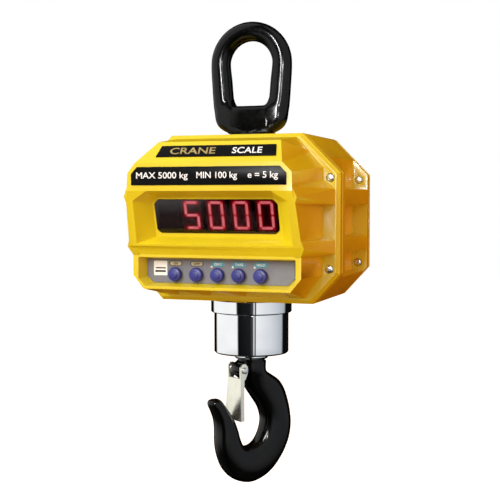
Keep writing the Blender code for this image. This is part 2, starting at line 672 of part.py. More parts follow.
def swivel_parts():
    top, bottom = COLLAR_Z
    spigot = 39.7
    collar = turned(((0.0, -251.0), (SHANK_RADIUS - 1.0, -251.0), (SHANK_RADIUS, -252.0), (SHANK_RADIUS, top),
                     (COLLAR_RADIUS - 1.5, top), (COLLAR_RADIUS, top - 1.5), (COLLAR_RADIUS, bottom + 3.0),
                     (COLLAR_RADIUS - 3.0, bottom), (spigot, bottom), (spigot, -362.0), (0.0, -362.0)), 48)
    cut(collar, rod("Y", (0.0, 0.0, LOWER_PIN_Z), PIN_RADIUS + GAP, -30.0, 30.0))
    finish(collar, "swivel_collar", CHROME, smooth=True)
    cup = turned(((spigot + GAP, bottom - GAP), (SWIVEL_RADIUS, bottom - GAP),
                  (SWIVEL_RADIUS, SWIVEL_BOTTOM_Z + 2.0),
                  (SWIVEL_RADIUS - 2.0, SWIVEL_BOTTOM_Z), (19.0, SWIVEL_BOTTOM_Z), (19.0, -400.0),
                  (spigot + GAP, -400.0)), 48)
    finish(cup, "swivel_housing", CHROME, smooth=True)
    for name, high, low in (("bearing_race_lower", -396.3, -399.7), ("bearing_race_upper", -387.5, -391.2)):
        race = turned(((19.2, high), (38.0, high), (38.0, low), (19.2, low)), 32)
        finish(race, name, STEEL, smooth=True)
    cage = turned(((22.0, -391.5), (36.0, -391.5), (36.0, -396.0), (22.0, -396.0)), 32)
    finish(cage, "bearing_balls", STEEL, smooth=True)


# Stations down the shank, round the bowl and up to the tip: inner point, outer point, thickness.
HOOK_ROWS = (
    ((-18.7, -421.0), (18.7, -421.0), 37.4),
    ((-18.5, -432.0), (18.9, -434.0), 37.0),
    ((-16.5, -443.5), (28.0, -440.5), 35.0),
    ((-12.5, -452.0), (41.5, -449.5), 34.0),
    ((-5.5, -461.5), (50.5, -461.5), 34.0),
    ((4.0, -473.0), (56.3, -477.0), 34.0),
    ((13.3, -486.0), (60.2, -494.0), 34.0),
    ((17.8, -501.0), (61.4, -512.5), 34.0),
    ((15.3, -515.0), (57.0, -533.5), 34.0),
    ((9.0, -526.5), (43.5, -556.5), 34.0),
    ((1.5, -532.5), (23.0, -575.0), 34.0),
    ((-6.0, -534.5), (-3.0, -584.0), 34.0),
    ((-13.0, -534.0), (-27.0, -577.5), 33.5),
    ((-18.5, -529.5), (-43.5, -563.0), 32.5),
    ((-22.5, -521.0), (-52.3, -545.0), 31.5),
    ((-25.5, -511.0), (-56.0, -527.0), 30.5),
    ((-29.5, -501.0), (-56.2, -508.5), 29.0),
    ((-34.5, -491.5), (-58.0, -495.0), 27.0),
    ((-41.0, -482.0), (-62.5, -483.5), 24.5),
    ((-47.5, -473.0), (-67.3, -474.0), 21.5),
    ((-53.0, -466.8), (-65.5, -466.8), 13.0),
)


def lerp_rows(rows, parts):
    """Catmull-Rom through the rows, so that a forging's outline runs smoothly."""
    flat = [(*inner, *outer, thick) for inner, outer, thick in rows]
    smooth = []
    for i in range(len(flat) - 1):
        p0, p1, p2, p3 = (flat[min(max(k, 0), len(flat) - 1)] for k in range(i - 1, i + 3))
        for k in range(parts):
            t = k / parts
            smooth.append([0.5 * (2 * b + (c - a) * t + (2 * a - 5 * b + 4 * c - d) * t * t
                                  + (3 * b - a - 3 * c + d) * t ** 3) for a, b, c, d in zip(p0, p1, p2, p3)])
    smooth.append(flat[-1])
    return [((v[0], v[1]), (v[2], v[3]), v[4]) for v in smooth]


def hook(turn):
    rows = lerp_rows(HOOK_ROWS, 2)
    body = loft([rounded_section(inner, outer, thick, power=2.35) for inner, outer, thick in rows])
    fuse(body, rod("Z", (0.0, 0.0, 0.0), SHANK_RADIUS, -427.0, -368.0, 28))
    pivot_x, pivot_z = LATCH_PIVOT
    lug = plate([(-4.0, -420.0), (-17.0, -420.0), (-24.0, -423.5), (-27.0, -427.0), (-27.3, -432.5),
                 (-24.0, -438.0), (-8.0, -450.0)], "XZ", -9.0, 9.0)
    fuse(body, lug)
    cut(body, rod("Y", (pivot_x, 0.0, pivot_z), 2.8 + GAP, -20.0, 20.0, 12))
    cut(body, rod("Y", (0.0, 0.0, -378.6), 3.0 + GAP, -40.0, 40.0, 12))
    ride(turn, body)
    return finish(body, "hook", BLACK_STEEL, smooth=True)


def hook_fittings(turn):
    ring = turned(((SHANK_RADIUS + GAP, SWIVEL_BOTTOM_Z - GAP), (23.0, SWIVEL_BOTTOM_Z - GAP), (23.0, -412.5),
                   (20.5, -417.5), (SHANK_RADIUS + GAP, -417.5)), 32)
    nut = turned(((SHANK_RADIUS + GAP, NUT_Z[0]), (32.0, NUT_Z[0]), (34.0, NUT_Z[0] - 2.0), (34.0, NUT_Z[1]),
                  (SHANK_RADIUS + GAP, NUT_Z[1])), 24)
    cut(nut, rod("Y", (0.0, 0.0, -378.6), 3.0 + GAP, -40.0, 40.0, 12))
    pin = rod("Y", (0.0, 0.0, -378.6), 3.0, -33.0, 33.0, 12)
    finish(ring, "hook_ring", CHROME, smooth=True)
    finish(nut, "hook_nut", STEEL, smooth=True)
    finish(pin, "hook_nut_pin", STEEL, smooth=True)
    ride(turn, ring, nut, pin)


def slab(low_x, high_x, half_y, z):
    """A level rectangle, one section of the latch."""
    return [(low_x, -half_y, z), (high_x, -half_y, z), (high_x, half_y, z), (low_x, half_y, z)]


def latch_parts(turn):
    """A sheet-metal safety latch on a pin through the hook's lug, with its spring."""
    pivot_x, pivot_z = LATCH_PIVOT
    web_top, tip_z = -441.5, -497.0
    half, flare, sheet = LATCH_HALF_WIDTH, LATCH_FLARE, LATCH_SHEET
    ears = [(-28.2, -426.5), (-24.5, -422.5), (-20.0, -422.5), (-16.8, -426.0), (-15.7, -431.2),
            (-16.6, -435.0), (-20.3, -443.6), (-28.0, -443.6)]
    latch = loft([slab(-28.0, -22.0, half, web_top), slab(-30.4, -24.6, half + flare, tip_z)])
    fuse(latch, plate(ears, "XZ", -half, half))
    cut(latch, loft([slab(-28.0 + sheet, 0.0, half - sheet, web_top + 0.5),
                     slab(-30.7 + sheet, 0.0, half + flare - sheet + 0.5, tip_z - 7.0)]))
    cut(latch, box((-40.0, sheet - half, web_top), (0.0, half - sheet, -415.0)))
    cut(latch, rod("Y", (pivot_x, 0.0, pivot_z), 2.8 + GAP, -20.0, 20.0, 12))
    axis = empty("latch_axis", (pivot_x, 0.0, pivot_z))
    axis.parent = turn
    ride(axis, finish(latch, "latch", ZINC), in_place=True)
    pin = turned(((0.0, 17.6), (3.2, 17.6), (4.2, 16.6), (4.2, 15.1), (2.8, 15.1), (2.8, -16.4),
                  (0.0, -16.4)), 12)
    pin.rotation_euler = (math.pi / 2, 0.0, 0.0)
    pin.location = (pivot_x * MM, 0.0, pivot_z * MM)
    finish(pin, "latch_pin", STEEL)
    spring = turned(((3.3, 1.4), (4.9, 1.4), (4.9, -1.4), (3.3, -1.4)), 16)
    spring.rotation_euler = (math.pi / 2, 0.0, 0.0)
    spring.location = (pivot_x * MM, 10.8 * MM, pivot_z * MM)
    finish(spring, "latch_spring", STEEL)
    ride(turn, pin, spring)


def battery_parts():
    battery = box((-47.0, 49.0, -267.2), (47.0, 104.0, -218.0))
    for x in (-38.0, 34.0):
        fuse(battery, box((x, 92.0, -218.5), (x + 5.0, 98.0, -214.0)))
    finish(battery, "battery", BATTERY_GREY)
    axis_y, axis_z = DOOR_AXIS
    door = box((-DOOR_HALF_WIDTH, 112.0, -273.0), (DOOR_HALF_WIDTH, COVER_PAD_Y, DOOR_TOP_Z))
    fuse(door, rod("X", (0.0, axis_y, axis_z), 3.5, -30.7, 30.7))
    fuse(door, box((-30.7, 112.4, axis_z), (30.7, 116.4, -272.0)))
    cut(door, rod("X", (0.0, axis_y, axis_z), 2.3, -31.5, 31.5))
    cut(door, rod("Y", (0.0, 0.0, DOOR_SCREW_Z), 4.3, 105.0, 120.0))
    cut(door, rod("Y", (0.0, 0.0, DOOR_SCREW_Z), 9.4, 114.2, 120.0, 24))
    hinge = empty("door_axis", (0.0, axis_y, axis_z))
    ride(hinge, finish(door, "battery_door", YELLOW), in_place=True)
    finish(rod("X", (0.0, axis_y, axis_z), 2.0, -39.8, 39.8), "door_pin", STEEL, smooth=True)
    lock = turned(((0.0, 117.6), (8.4, 117.6), (9.0, 117.0), (9.0, 114.6), (4.0, 114.6), (4.0, 106.5),
                   (0.0, 106.5)), 24)
    lock.rotation_euler = (-math.pi / 2, 0.0, 0.0)
    lock.location = (0.0, 0.0, DOOR_SCREW_Z * MM)
    finish(lock, "door_lock", STEEL)


def charge_socket():
    socket = turned(((0.0, 111.5), (5.5, 111.5), (5.5, 104.0), (6.4, 104.0), (6.4, 111.5), (8.4, 111.5),
                     (8.4, 108.3), (7.0, 108.3), (7.0, 94.0), (0.0, 94.0)), 20)
    socket.rotation_euler = (-math.pi / 2, 0.0, 0.0)
    socket.location = (-101.0 * MM, 0.0, -240.0 * MM)
    return finish(socket, "charge_socket", DISPLAY_BODY)


face = display_frame()
front_housing()
rear_housing()
gasket("front_gasket", FLANGE_BACK_Y, REAR_SHELL_Y)
gasket("rear_gasket", REAR_SHELL_BACK_Y, COVER_Y)
rear_cover()
screws()
label_plates()
display_parts(face)
keys()
main_board()
top_eye()
eye_seal()
load_cell()
swivel_parts()
swivel_turn = empty("hook_turn", (0.0, 0.0, 0.0), (0.0, 0.0, HOOK_TURN))
hook(swivel_turn)
hook_fittings(swivel_turn)
latch_parts(swivel_turn)
battery_parts()
charge_socket()
bpy.context.view_layer.update()
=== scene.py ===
import json
import math

import bmesh
import bpy
from mathutils import Matrix, Vector


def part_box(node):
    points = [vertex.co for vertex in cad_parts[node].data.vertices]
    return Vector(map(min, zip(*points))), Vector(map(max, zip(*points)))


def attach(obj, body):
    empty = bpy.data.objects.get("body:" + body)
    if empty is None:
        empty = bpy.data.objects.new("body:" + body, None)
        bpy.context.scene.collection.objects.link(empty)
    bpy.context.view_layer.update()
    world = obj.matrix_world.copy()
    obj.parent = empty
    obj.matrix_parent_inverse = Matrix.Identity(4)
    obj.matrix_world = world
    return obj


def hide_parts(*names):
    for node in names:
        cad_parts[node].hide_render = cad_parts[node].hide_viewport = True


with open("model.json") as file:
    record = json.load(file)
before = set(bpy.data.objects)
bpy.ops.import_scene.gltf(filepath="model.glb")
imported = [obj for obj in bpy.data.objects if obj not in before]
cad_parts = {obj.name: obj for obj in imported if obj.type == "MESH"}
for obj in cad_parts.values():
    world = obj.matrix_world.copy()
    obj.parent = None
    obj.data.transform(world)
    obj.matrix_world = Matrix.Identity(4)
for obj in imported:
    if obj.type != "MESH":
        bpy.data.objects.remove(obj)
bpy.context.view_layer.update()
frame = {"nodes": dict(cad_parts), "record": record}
nodes = frame["nodes"]
bodies = frame["record"]["behaviour"]["bodies"]
bodyOf = {node: body for body, members in bodies.items() for node in members}
mm = 0.001
print("frame loaded:", len(nodes), "parts")

# The sloped faces of the housing: local X runs across, Z up the face and +Y into the housing.
displayFace = Matrix.Translation((0, -161 * mm, -197 * mm)) @ Matrix.Rotation(math.atan2(20, 67), 4, "X")
nameFace = Matrix.Translation((0, -161 * mm, -163.5 * mm)) @ Matrix.Rotation(math.radians(-32.9), 4, "X")
upright = Matrix.Identity(4)
hookPlane = Matrix.Rotation(math.radians(55), 4, "Z")


# Small helpers for colours, nodes and materials.

def hexToLinear(hexCode):
    channels = [int(hexCode[i:i + 2], 16) / 255 for i in (1, 3, 5)]
    return (*[c / 12.92 if c <= 0.04045 else ((c + 0.055) / 1.055) ** 2.4 for c in channels], 1.0)


def addNode(tree, kind, inputs=None, stops=None, **settings):
    node = tree.nodes.new(kind)
    for key, value in settings.items():
        setattr(node, key, value)
    for key, value in (inputs or {}).items():
        if isinstance(value, bpy.types.NodeSocket):
            tree.links.new(value, node.inputs[key])
        else:
            node.inputs[key].default_value = value
    for index, (place, colour) in enumerate(stops or []):
        points = node.color_ramp.elements
        point = points[index] if index < 2 else points.new(place)
        point.position = place
        point.color = hexToLinear(colour)
    return node


def perMm(size):
    return 1 / (size * mm)                    # texture scale for a feature of this size


def startMaterial(name, look):
    material = bpy.data.materials.new(name)
    material.use_nodes = True
    tree = material.node_tree
    shader = tree.nodes["Principled BSDF"]
    for socket, value in look.items():
        shader.inputs[socket].default_value = hexToLinear(value) if isinstance(value, str) else value
    place = addNode(tree, "ShaderNodeTexCoord").outputs["Object"]
    return material, tree, shader, place


# Cloudy colour between two shades, uneven gloss and a fine relief: what most finishes here share.
def weatherSurface(tree, shader, place, shades, cloudMm, gloss, grainMm, relief):
    cloud = addNode(tree, "ShaderNodeTexNoise", {"Vector": place, "Scale": perMm(cloudMm), "Detail": 4.0})
    tint = addNode(tree, "ShaderNodeValToRGB", {"Fac": cloud.outputs["Fac"]},
                   stops=((0.3, shades[0]), (0.7, shades[1])))
    tree.links.new(tint.outputs["Color"], shader.inputs["Base Color"])
    wear = addNode(tree, "ShaderNodeTexNoise", {"Vector": place, "Scale": perMm(cloudMm / 5),
                                                "Detail": 5.0})
    rough = addNode(tree, "ShaderNodeMapRange", {"Value": wear.outputs["Fac"], "From Min": 0.3,
                                                 "From Max": 0.7, "To Min": gloss[0], "To Max": gloss[1]})
    tree.links.new(rough.outputs["Result"], shader.inputs["Roughness"])
    grain = addNode(tree, "ShaderNodeTexNoise", {"Vector": place, "Scale": perMm(grainMm), "Detail": 3.0})
    bump = addNode(tree, "ShaderNodeBump", {"Height": grain.outputs["Fac"], "Strength": 0.6,
                                            "Distance": relief * mm})
    tree.links.new(bump.outputs["Normal"], shader.inputs["Normal"])
    return cloud, bump


# Finishes.

def enamelPaint(name, shades, gloss):
    # Stoving enamel on cast aluminium: a deep warm yellow with soft gloss and a faint orange peel.
    material, tree, shader, place = startMaterial(name, {"IOR": 1.47, "Coat Weight": 0.15,
                                                         "Coat Roughness": 0.12})
    weatherSurface(tree, shader, place, shades, 55, gloss, 1.4, 0.03)
    return material


def forgedBlack():
    # Black gloss paint over a drop forging: deep black, slightly wavy, with small pits.
    material, tree, shader, place = startMaterial("blackPaintOnForgedSteel",
                                                  {"IOR": 1.3, "Coat Weight": 0.1, "Coat Roughness": 0.08})
    _, bump = weatherSurface(tree, shader, place, ("#030303", "#080909"), 24, (0.12, 0.2), 2.6, 0.02)
    wave = addNode(tree, "ShaderNodeTexNoise", {"Vector": place, "Scale": perMm(13), "Detail": 2.0})
    swell = addNode(tree, "ShaderNodeBump", {"Height": wave.outputs["Fac"], "Strength": 0.4,
                                             "Distance": 0.35 * mm, "Normal": bump.outputs["Normal"]})
    tree.links.new(swell.outputs["Normal"], shader.inputs["Normal"])
    return material


def brightChrome():
    # Polished chromium plate on turned steel: mirror bright, with barely visible polishing rings.
    material, tree, shader, place = startMaterial("polishedChromePlate", {"Metallic": 1.0})
    weatherSurface(tree, shader, place, ("#F0F1F2", "#F8F9F9"), 30, (0.03, 0.06), 3.5, 0.002)
    rings = addNode(tree, "ShaderNodeTexWave", {"Vector": place, "Scale": perMm(14), "Distortion": 0.4},
                    bands_direction="Z")
    polish = addNode(tree, "ShaderNodeBump", {"Height": rings.outputs["Fac"], "Strength": 0.15,
                                              "Distance": 0.004 * mm})
    tree.links.new(polish.outputs["Normal"], shader.inputs["Normal"])
    return material


def platedSteel(name, shades, gloss, grainMm=0.8):
    # Zinc-plated and turned steel: pale grey with a satin shine and fine tool marks.
    material, tree, shader, place = startMaterial(name, {"Metallic": 1.0})
    weatherSurface(tree, shader, place, shades, 8, gloss, grainMm, 0.012)
    return material


def brushedAlloy():
    # Milled aluminium: long fine strokes down the faces.
    material, tree, shader, place = startMaterial("milledAluminium", {"Metallic": 1.0})
    weatherSurface(tree, shader, place, ("#AEB0B4", "#C9CBCE"), 20, (0.28, 0.42), 0.8, 0.006)
    stretched = addNode(tree, "ShaderNodeMapping", {"Vector": place, "Scale": (1.0, 1.0, 0.04)})
    strokes = addNode(tree, "ShaderNodeTexNoise", {"Vector": stretched.outputs["Vector"],
                                                   "Scale": perMm(0.9), "Detail": 3.0})
    bump = addNode(tree, "ShaderNodeBump", {"Height": strokes.outputs["Fac"], "Strength": 0.5,
                                            "Distance": 0.02 * mm})
    tree.links.new(bump.outputs["Normal"], shader.inputs["Normal"])
    return material


def mouldedPlastic(name, shades, gloss, grainMm=1.0, relief=0.03, ior=1.5):
    # Moulded plastic or rubber: even colour, a fine spark-eroded grain and soft highlights.
    material, tree, shader, place = startMaterial(name, {"IOR": ior})
    weatherSurface(tree, shader, place, shades, 26, gloss, grainMm, relief)
    return material


def smokedAcrylic():
    # Dark red acrylic: clear enough for the lit segments, nearly black where nothing is lit.
    material, tree, shader, place = startMaterial("darkRedAcrylic", {
        "Base Color": "#7A6060", "Transmission Weight": 1.0, "IOR": 1.49, "Roughness": 0.02})
    scuffs = addNode(tree, "ShaderNodeTexNoise", {"Vector": place, "Scale": perMm(18), "Detail": 6.0})
    rough = addNode(tree, "ShaderNodeMapRange", {"Value": scuffs.outputs["Fac"], "From Min": 0.4,
                                                 "From Max": 0.8, "To Min": 0.01, "To Max": 0.06})
    tree.links.new(rough.outputs["Result"], shader.inputs["Roughness"])
    return material


def solderMask():
    # Green solder mask over copper tracks: straight lighter tracks on a dark green board.
    material, tree, shader, place = startMaterial("greenSolderMask", {"Roughness": 0.35, "IOR": 1.5})
    turned = addNode(tree, "ShaderNodeMapping", {"Vector": place, "Rotation": (math.radians(90), 0.0, 0.0)})
    tracks = addNode(tree, "ShaderNodeTexBrick", {
        "Vector": turned.outputs["Vector"], "Color1": hexToLinear("#0E4A24"),
        "Color2": hexToLinear("#125A2C"), "Mortar": hexToLinear("#3C9A5A"), "Scale": perMm(40),
        "Mortar Size": 0.012, "Brick Width": 0.35, "Row Height": 0.12})
    tree.links.new(tracks.outputs["Color"], shader.inputs["Base Color"])
    bump = addNode(tree, "ShaderNodeBump", {"Height": tracks.outputs["Fac"], "Strength": 0.4,
                                            "Distance": 0.04 * mm})
    tree.links.new(bump.outputs["Normal"], shader.inputs["Normal"])
    return material


def litSegment():
    # A lit red segment: pale red, a little brighter in some places along each bar than in others.
    material, tree, shader, place = startMaterial("litRedSegment", {
        "Base Color": "#401014", "Roughness": 0.5, "Emission Strength": 3.4})
    spots = addNode(tree, "ShaderNodeTexNoise", {"Vector": place, "Scale": perMm(9), "Detail": 2.0})
    shine = addNode(tree, "ShaderNodeValToRGB", {"Fac": spots.outputs["Fac"]},
                    stops=((0.35, "#F48C98"), (0.65, "#FFB4BE")))
    tree.links.new(shine.outputs["Color"], shader.inputs["Emission Color"])
    return material


def paintedSegmentGlow():
    # Painted glow: an emitting sheet in front of the module stands in for the light that spreads through
    # the diffuser round the lit bars, fading within a few millimetres.
    material, tree, shader, _ = startMaterial("redGlowOnDiffuser", {
        "Base Color": "#0B0B0C", "Roughness": 0.55, "Emission Strength": 5.5})
    glow = addNode(tree, "ShaderNodeAttribute", attribute_name="glow")
    tint = addNode(tree, "ShaderNodeValToRGB", {"Fac": glow.outputs["Fac"]},
                   stops=((0.0, "#000000"), (1.0, "#9A0414"), (0.45, "#38000A")))
    tree.links.new(tint.outputs["Color"], shader.inputs["Emission Color"])
    return material


def printedInk(name, shades):
    # Screen-printed ink: flat and opaque, with a slightly uneven edge-to-edge density.
    material, tree, shader, place = startMaterial(name, {"IOR": 1.45})
    weatherSurface(tree, shader, place, shades, 6, (0.35, 0.5), 0.6, 0.004)
    return material


yellow = enamelPaint("yellowStovingEnamel", ("#DDC40A", "#E5CC0E"), (0.3, 0.42))
# Lighter yellow for the rounded edges of the housing: a painted highlight along every edge, not a separate
# enamel.
yellowPaintedEdgeHighlight = enamelPaint("yellowEnamelOnEdges", ("#F4DE3C", "#FAE858"), (0.22, 0.32))
black = forgedBlack()
chrome = brightChrome()
steel = platedSteel("zincPlatedSteel", ("#D4D5D2", "#ECECE8"), (0.2, 0.32))
latchZinc = platedSteel("yellowZincSheet", ("#F2F0DC", "#FBF9EA"), (0.24, 0.34), 1.2)
alloy = brushedAlloy()
rubber = mouldedPlastic("blackNitrileRubber", ("#0A0A0A", "#141414"), (0.6, 0.8), 0.8)
keyRubber = mouldedPlastic("navySiliconeKey", ("#282B7C", "#30348E"), (0.42, 0.55), 0.7, 0.02)
panelFilm = mouldedPlastic("greySatinPolyester", ("#76767F", "#7F7F88"), (0.42, 0.52), 0.5, 0.01)
labelFilm = mouldedPlastic("blackLabelFilm", ("#020202", "#050506"), (0.3, 0.4), 1.2, 0.003, 1.2)
caseBlack = mouldedPlastic("blackAbs", ("#0B0B0C", "#131314"), (0.45, 0.6), 0.6)
batteryGrey = mouldedPlastic("greyBatteryCase", ("#2E2F33", "#393A3F"), (0.5, 0.62), 0.9)
board = solderMask()
acrylic = smokedAcrylic()
lit = litSegment()
glow = paintedSegmentGlow()
whiteInk = printedInk("whiteInk", ("#E6E6E6", "#F6F6F6"))
goldInk = printedInk("goldInk", ("#8C7A44", "#B09C60"))
darkInk = printedInk("darkInk", ("#241414", "#3A2622"))
creamInk = printedInk("creamInk", ("#B9AC86", "#C9BE98"))
cyanInk = printedInk("cyanInk", ("#3C8EA6", "#58A9BE"))
stickerWhite = printedInk("whiteStickerPaper", ("#F2F0EC", "#FBFAF7"))
print("finishes made")


# Helpers for shapes (millimetres in, metres out).

def addPiece(name, mesh, materials, body, stands=()):
    piece = bpy.data.objects.new(name, mesh)
    bpy.context.scene.collection.objects.link(piece)
    for material in materials:
        mesh.materials.append(material)
    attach(piece, body)
    if stands:
        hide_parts(*stands)
    return piece


def meshFrom(bm, name, place=upright, smoothAngle=30):
    bmesh.ops.recalc_face_normals(bm, faces=bm.faces)
    mesh = bpy.data.meshes.new(name)
    bm.to_mesh(mesh)
    bm.free()
    mesh.transform(Matrix.Scale(mm, 4))
    mesh.transform(place)
    mesh.shade_smooth()
    mesh.set_sharp_from_angle(angle=math.radians(smoothAngle))
    return mesh


def ringsToMesh(rings, closed=False):
    bm = bmesh.new()
    loops = [[bm.verts.new(point) for point in ring] for ring in rings]
    pairs = list(zip(loops, loops[1:])) + ([(loops[-1], loops[0])] if closed else [])
    for here, there in pairs:
        for i in range(len(here)):
            j = (i + 1) % len(here)
            bm.faces.new((here[i], here[j], there[j], there[i]))
    if not closed:
        bm.faces.new(loops[0])
        bm.faces.new(loops[-1][::-1])
    return bm


# Rounds the corners of an outline with short arcs.
def filleted(points, radius, steps=4):
    out = []
    for i, point in enumerate(points):
        here = Vector(point)
        before = Vector(points[i - 1]) - here
        after = Vector(points[(i + 1) % len(points)]) - here
        turn = before.angle(after)
        reach = min(radius / math.tan(turn / 2), before.length * 0.45, after.length * 0.45)
        if turn > math.radians(172):
            out.append(here)
            continue
        start = here + before.normalized() * reach
        end = here + after.normalized() * reach
        for k in range(steps + 1):
            t = k / steps
            out.append(start * (1 - t) ** 2 + here * 2 * t * (1 - t) + end * t * t)
    return out


# A flat piece: its outline lies across X and Z, and it runs from low to high along Y.
def slab(outline, low, high, edge=0.0):
    bm = bmesh.new()
    bottom = bm.faces.new([bm.verts.new((x, low, z)) for x, z in outline])
    top = bmesh.ops.extrude_face_region(bm, geom=[bottom])
    bmesh.ops.translate(bm, vec=(0, high - low, 0),
                        verts=[part for part in top["geom"] if isinstance(part, bmesh.types.BMVert)])
    bm.normal_update()
    if edge:
        rims = [e for e in bm.edges if e.calc_face_angle(0) > math.radians(60)]
        bmesh.ops.bevel(bm, geom=rims, offset=edge, segments=2, profile=0.5, affect="EDGES",
                        clamp_overlap=True)
    return bm


# A turned piece round the local Z axis; the profile runs down its outside.
def turnedMesh(profile, segments=96):
    rings = []
    for i in range(segments):
        angle = 2 * math.pi * i / segments
        rings.append([(r * math.cos(angle), r * math.sin(angle), z) for r, z in profile])
    bm = ringsToMesh(rings, closed=True)
    bmesh.ops.remove_doubles(bm, verts=bm.verts, dist=0.001)
    bmesh.ops.dissolve_degenerate(bm, dist=0.0005, edges=bm.edges)
    return bm


# A copy of a CAD part whose sharp edges are rounded, no wider than the neighbouring edges allow.
def softened(nodeName, look, finish, edgeFinishOrPaintedHighlight):
    mesh = nodes[nodeName].data.copy()
    mesh.materials.clear()
    bm = bmesh.new()
    bm.from_mesh(mesh)
    bmesh.ops.remove_doubles(bm, verts=bm.verts, dist=1e-5)
    bmesh.ops.dissolve_limit(bm, angle_limit=math.radians(0.8), verts=bm.verts, edges=bm.edges)
    weight = bm.edges.layers.float.new("bevel_weight_edge")
    width = look["edgeMm"] * mm
    for edge in bm.edges:
        if len(edge.link_faces) != 2 or edge.calc_face_angle(0) < math.radians(look["sharpDegrees"]):
            continue
        room = edge.calc_length()
        for vert in edge.verts:
            along = (edge.other_vert(vert).co - vert.co).normalized()
            for face in edge.link_faces:
                for side in face.edges:
                    if side is edge or vert not in side.verts:
                        continue
                    across = side.other_vert(vert).co - vert.co
                    room = min(room, across.length) if abs(across.normalized().dot(along)) < 0.9 else room
        edge[weight] = min(1.0, 0.38 * room / width)
    for face in bm.faces:
        face.smooth = True
        face.material_index = 0
    bm.to_mesh(mesh)
    bm.free()
    piece = addPiece(nodeName + "_fine", mesh, (finish, edgeFinishOrPaintedHighlight), bodyOf[nodeName], (nodeName,))
    bevel = piece.modifiers.new("roundedEdges", "BEVEL")
    bevel.width = width
    bevel.segments = look["steps"]
    bevel.limit_method = "WEIGHT"
    bevel.harden_normals = True
    # The rounds take the second material; on the yellow parts that is the painted edge highlight.
    bevel.material = 1
    bevel.use_clamp_overlap = True
    return piece


def evaluated(obj):
    bpy.context.view_layer.update()
    graph = bpy.context.evaluated_depsgraph_get()
    return bpy.data.meshes.new_from_object(obj.evaluated_get(graph))


# Joins or cuts meshes, and gives back one clean mesh.
def carved(base, tools, operation):
    host = bpy.data.objects.new("host", base)
    bpy.context.scene.collection.objects.link(host)
    helpers = []
    for tool in tools:
        helper = bpy.data.objects.new("tool", tool)
        bpy.context.scene.collection.objects.link(helper)
        modifier = host.modifiers.new("cut", "BOOLEAN")
        modifier.operation = operation
        modifier.object = helper
        helpers.append(helper)
    result = evaluated(host)
    for helper in helpers + [host]:
        bpy.data.objects.remove(helper, do_unlink=True)
    return result


# Housing shells, battery door, latch, load cell and battery: the CAD shapes with rounded edges; on the
# housing shells and battery door the rounds are a lighter yellow, a painted highlight.

housingLook = {
    "front_housing": {"edgeMm": 1.6, "sharpDegrees": 12, "steps": 3},
    "rear_housing": {"edgeMm": 1.4, "sharpDegrees": 14, "steps": 3},
    "rear_cover": {"edgeMm": 1.3, "sharpDegrees": 14, "steps": 3},
    "battery_door": {"edgeMm": 0.9, "sharpDegrees": 25, "steps": 3},
}
for nodeName, look in housingLook.items():
    softened(nodeName, look, yellow, yellowPaintedEdgeHighlight)
softened("latch", {"edgeMm": 0.7, "sharpDegrees": 25, "steps": 3}, latchZinc, latchZinc)
softened("load_cell", {"edgeMm": 0.8, "sharpDegrees": 35, "steps": 2}, alloy, alloy)
softened("battery", {"edgeMm": 1.5, "sharpDegrees": 35, "steps": 3}, batteryGrey, batteryGrey)
print("shells made")


# Forged hook and lifting eye.

hookLook = {
    "sectionPoints": 44,
    "squareness": 2.5,          # 2 is an ellipse, 4 is nearly a rounded box
    "neckSquareness": 2.35,
    "squareFrom": 6,            # the row where the full squareness is reached
    "between": 4,               # rings added from one row to the next
}
# Down the shank, round the bowl and up to the tip: inner point, outer point and thickness.
# The third to fifth rows are slim on the inside, so that the latch has room to open.
hookRows = (
    ((-18.7, -421.0), (18.7, -421.0), 37.4), ((-18.5, -432.0), (18.9, -434.0), 37.0),
    ((-15.7, -443.3), (28.0, -440.5), 34.6), ((-11.5, -451.5), (41.5, -449.5), 34.0),
    ((-4.9, -461.3), (50.5, -461.5), 34.0), ((4.0, -473.0), (56.3, -477.0), 34.0),
    ((13.3, -486.0), (60.2, -494.0), 34.0), ((17.8, -501.0), (61.4, -512.5), 34.0),
    ((15.3, -515.0), (57.0, -533.5), 34.0), ((9.0, -526.5), (43.5, -556.5), 34.0),
    ((1.5, -532.5), (23.0, -575.0), 34.0), ((-6.0, -534.5), (-3.0, -583.3), 34.0),
    ((-13.0, -534.0), (-27.0, -577.5), 33.5), ((-18.5, -529.5), (-43.5, -563.0), 32.5),
    ((-22.5, -521.0), (-52.3, -545.0), 31.5), ((-25.5, -511.0), (-56.0, -527.0), 30.5),
    ((-29.5, -501.0), (-56.2, -508.5), 29.0), ((-34.5, -491.5), (-58.0, -495.0), 27.0),
    ((-41.0, -482.0), (-62.5, -483.5), 24.5), ((-47.5, -473.0), (-67.3, -474.0), 21.5),
    ((-51.0, -468.6), (-67.0, -468.9), 17.5), ((-54.6, -466.4), (-64.0, -466.6), 9.5),
)
lugOutline = [(-4.0, -420.0), (-17.0, -420.0), (-24.0, -423.5), (-27.0, -427.0), (-27.3, -432.5),
              (-24.0, -438.0), (-8.0, -450.0)]
latchPivot = (-21.5, -431.2)


# A curve through the rows, so that the forging runs smoothly from one to the next.
def smoothRows(rows, parts, closed=False):
    flat = [(*inner, *outer, thick) for inner, outer, thick in rows]
    count = len(flat)
    smooth = []
    for i in range(count if closed else count - 1):
        if closed:
            p0, p1, p2, p3 = (flat[k % count] for k in range(i - 1, i + 3))
        else:
            p0, p1, p2, p3 = (flat[min(max(k, 0), count - 1)] for k in range(i - 1, i + 3))
        for k in range(parts):
            t = k / parts
            smooth.append([0.5 * (2 * b + (c - a) * t + (2 * a - 5 * b + 4 * c - d) * t * t
                                  + (3 * b - a - 3 * c + d) * t ** 3)
                           for a, b, c, d in zip(p0, p1, p2, p3)])
    if not closed:
        smooth.append(flat[-1])
    return smooth


